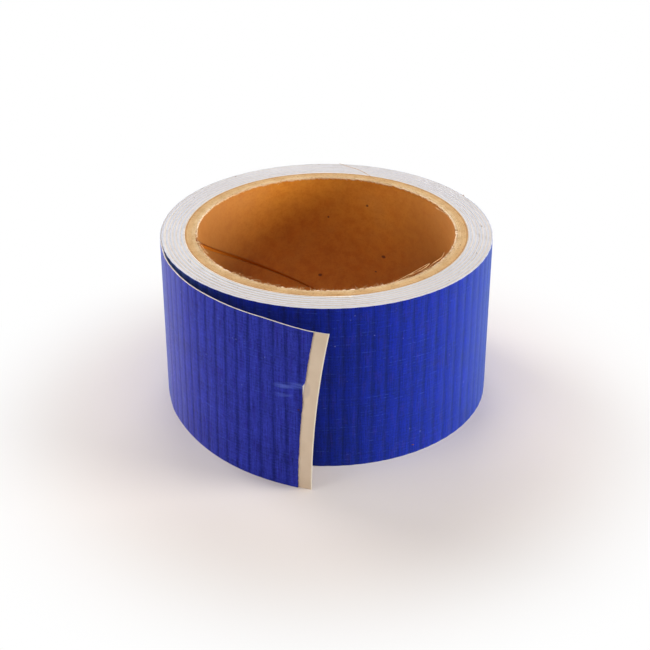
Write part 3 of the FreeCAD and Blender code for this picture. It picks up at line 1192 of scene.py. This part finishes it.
def buildSpeckTree():
    tree, wire = startTree("dirtSpecks", {"Seed": specks["seed"], "Material": None})
    seed = wire["Seed"]
    grain = addNode(tree, "GeometryNodeMeshIcoSphere", {"Radius": 0.5, "Subdivisions": 2})
    points = addNode(tree, "GeometryNodeMeshToPoints", {"Mesh": wire["Geometry"]})
    size = attribute(tree, "size")
    ranges = ((0.7, 1.5), (0.6, 1.1), (0.35, 0.6))
    flat = vector(tree, *(size * chance(seed, *ranges[i], i + 1) for i in range(3)))
    tilts = ((-0.3, 0.3), (-0.3, 0.3), (0.0, 6.28))
    turn = vector(tree, *(chance(seed, *tilts[i], i + 4) for i in range(3)))
    placed = {"Points": points, "Instance": grain, "Rotation": turn, "Scale": flat}
    endTree(tree, addNode(tree, "GeometryNodeInstanceOnPoints", placed), wire["Material"])
    return tree


def makeSpecks():
    start = bpy.data.meshes.new("dirtSpecks")
    corners = [onCircle(angle, radius, height * mm) for angle, radius, height, _ in specks["places"]]
    start.from_pydata(corners, [], [])
    sizes = [place[3] * specks["growth"] * mm for place in specks["places"]]
    start.attributes.new("size", "FLOAT", "POINT").data.foreach_set("value", sizes)
    material = makeTwoTone("dirt speck", specks, 330.0, 1.0, 0.40, 0.60)
    piece = grow("dirtSpecks", start, buildSpeckTree(), {"Material": material})
    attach(piece, "roll")


makeSpecks()
print("strands and specks set")


# The start strip under the first turn keeps its shape

startStrip = {"colour": srgb(222, 216, 200), "darkColour": srgb(206, 198, 180)}
filmMaterial = makeTwoTone("start strip film", startStrip, 300.0, 2.0, 0.3, 0.7, 0.35, 0.01 * mm)
startTape = frame["nodes"]["start_tape"]
startTape.data.materials.clear()
startTape.data.materials.append(filmMaterial)


# Camera

view = {
    "distance": 449.05 * mm,
    "elevation": math.radians(29.336),
    "aim": Vector((-0.43 * mm, 0.0, 18.49 * mm)),
    "lens": 81.47,
}
cameraData = bpy.data.cameras.new("camera")
cameraData.lens = view["lens"]
cameraData.sensor_width = 36.0
camera = addObject("camera", cameraData)
back = Vector((0.0, -math.cos(view["elevation"]), math.sin(view["elevation"])))
camera.location = view["aim"] + back * view["distance"]
camera.rotation_euler = (math.pi / 2 - view["elevation"], 0.0, 0.0)
bpy.context.scene.camera = camera


# Floor, lamps and world

studio = {
    # painted shadow: the floor near the roll
    "floorShadeColour": srgb(243, 233, 224),
    "floorShadeTint": srgb(239, 230, 226),
    "farColour": srgb(254, 252, 251),
    "worldStrength": 0.03,
    "whiteFrom": 0.058,
    "whiteTo": 0.120,
    "shadowShift": 0.022,
    "lamps": {  # place, size and watts
        "rightSoftbox": ((0.78, -0.14, 0.14), 0.45, 11.2),
        "leftSoftbox": ((-0.80, 0.0, 0.22), 0.45, 1.3),
        "leftFrontSoftbox": ((-0.66, -0.46, 0.22), 0.45, 2.3),
        "leftBackSoftbox": ((-0.60, 0.50, 0.25), 0.45, 4.8),
        "backSoftbox": ((0.0, 0.80, 0.30), 0.60, 4.2),
        "topSoftbox": ((0.0, -0.10, 0.90), 0.70, 2.15),
        "frontSoftbox": ((0.0, -0.70, 0.75), 0.60, 0.4),
    },
}
bpy.context.scene.view_settings.view_transform = "Standard"


def seenRays(tree):
    path = tree.nodes.new("ShaderNodeLightPath")
    kinds = ("Is Camera Ray", "Is Glossy Ray", "Is Transmission Ray")
    return strongest([Wire(tree, path.outputs[kind]) for kind in kinds])


def makeFloor():
    half = 4.0
    corners = [(-half, -half, 0), (half, -half, 0), (half, half, 0), (-half, half, 0)]
    mesh = bpy.data.meshes.new("floor")
    mesh.from_pydata(corners, [], [(0, 1, 2, 3)])
    floor = addObject("floor", mesh)
    material, tree, shader = newMaterial("floor paper")
    place = objectPlace(tree)
    x, y, _ = parts(place)
    # Painted shadow: the floor is painted darker and warmer near the roll, centred a little in front of
    # it, and turns white further off
    y = y + studio["shadowShift"]
    away = calc("SQRT", x * x + y * y)
    colour = mixColour(noise(place, 6.0, 1.0) * 0.4, studio["floorShadeColour"], studio["floorShadeTint"])
    colour = mixColour(smooth(away, 0.07, 0.15), colour, studio["farColour"])
    finishMaterial(tree, shader, colour, 0.9, gloss=0.1)
    white = addNode(tree, "ShaderNodeEmission", {"Color": (1.0, 1.0, 1.0, 1.0), "Strength": 1.0})
    clear = seenRays(tree) * smooth(away, studio["whiteFrom"], studio["whiteTo"])
    lit = Wire(tree, shader.outputs[0])
    surface = addNode(tree, "ShaderNodeMixShader", {0: clear, 1: lit, 2: white})
    plug(tree, surface, tree.nodes["Material Output"].inputs["Surface"])
    mesh.materials.append(material)


def makeLamp(name, place, size, watts):
    data = bpy.data.lights.new(name, "AREA")
    data.shape = "DISK"
    data.size = size
    data.energy = watts
    lamp = addObject(name, data)
    lamp.location = place
    towards = Vector((0.0, 0.0, 0.02)) - Vector(place)
    lamp.rotation_euler = towards.to_track_quat("-Z", "Y").to_euler()


def makeWorld():
    world = bpy.data.worlds.new("studio")
    bpy.context.scene.world = world
    world.use_nodes = True
    tree = world.node_tree
    seen = seenRays(tree)
    level = studio["worldStrength"]
    background = tree.nodes["Background"]
    background.inputs["Color"].default_value = (1.0, 1.0, 1.0, 1.0)
    plug(tree, level + seen * (1.0 - level), background.inputs["Strength"])


makeFloor()
for lampName, lampFacts in studio["lamps"].items():
    makeLamp(lampName, *lampFacts)
makeWorld()
print("studio ready")
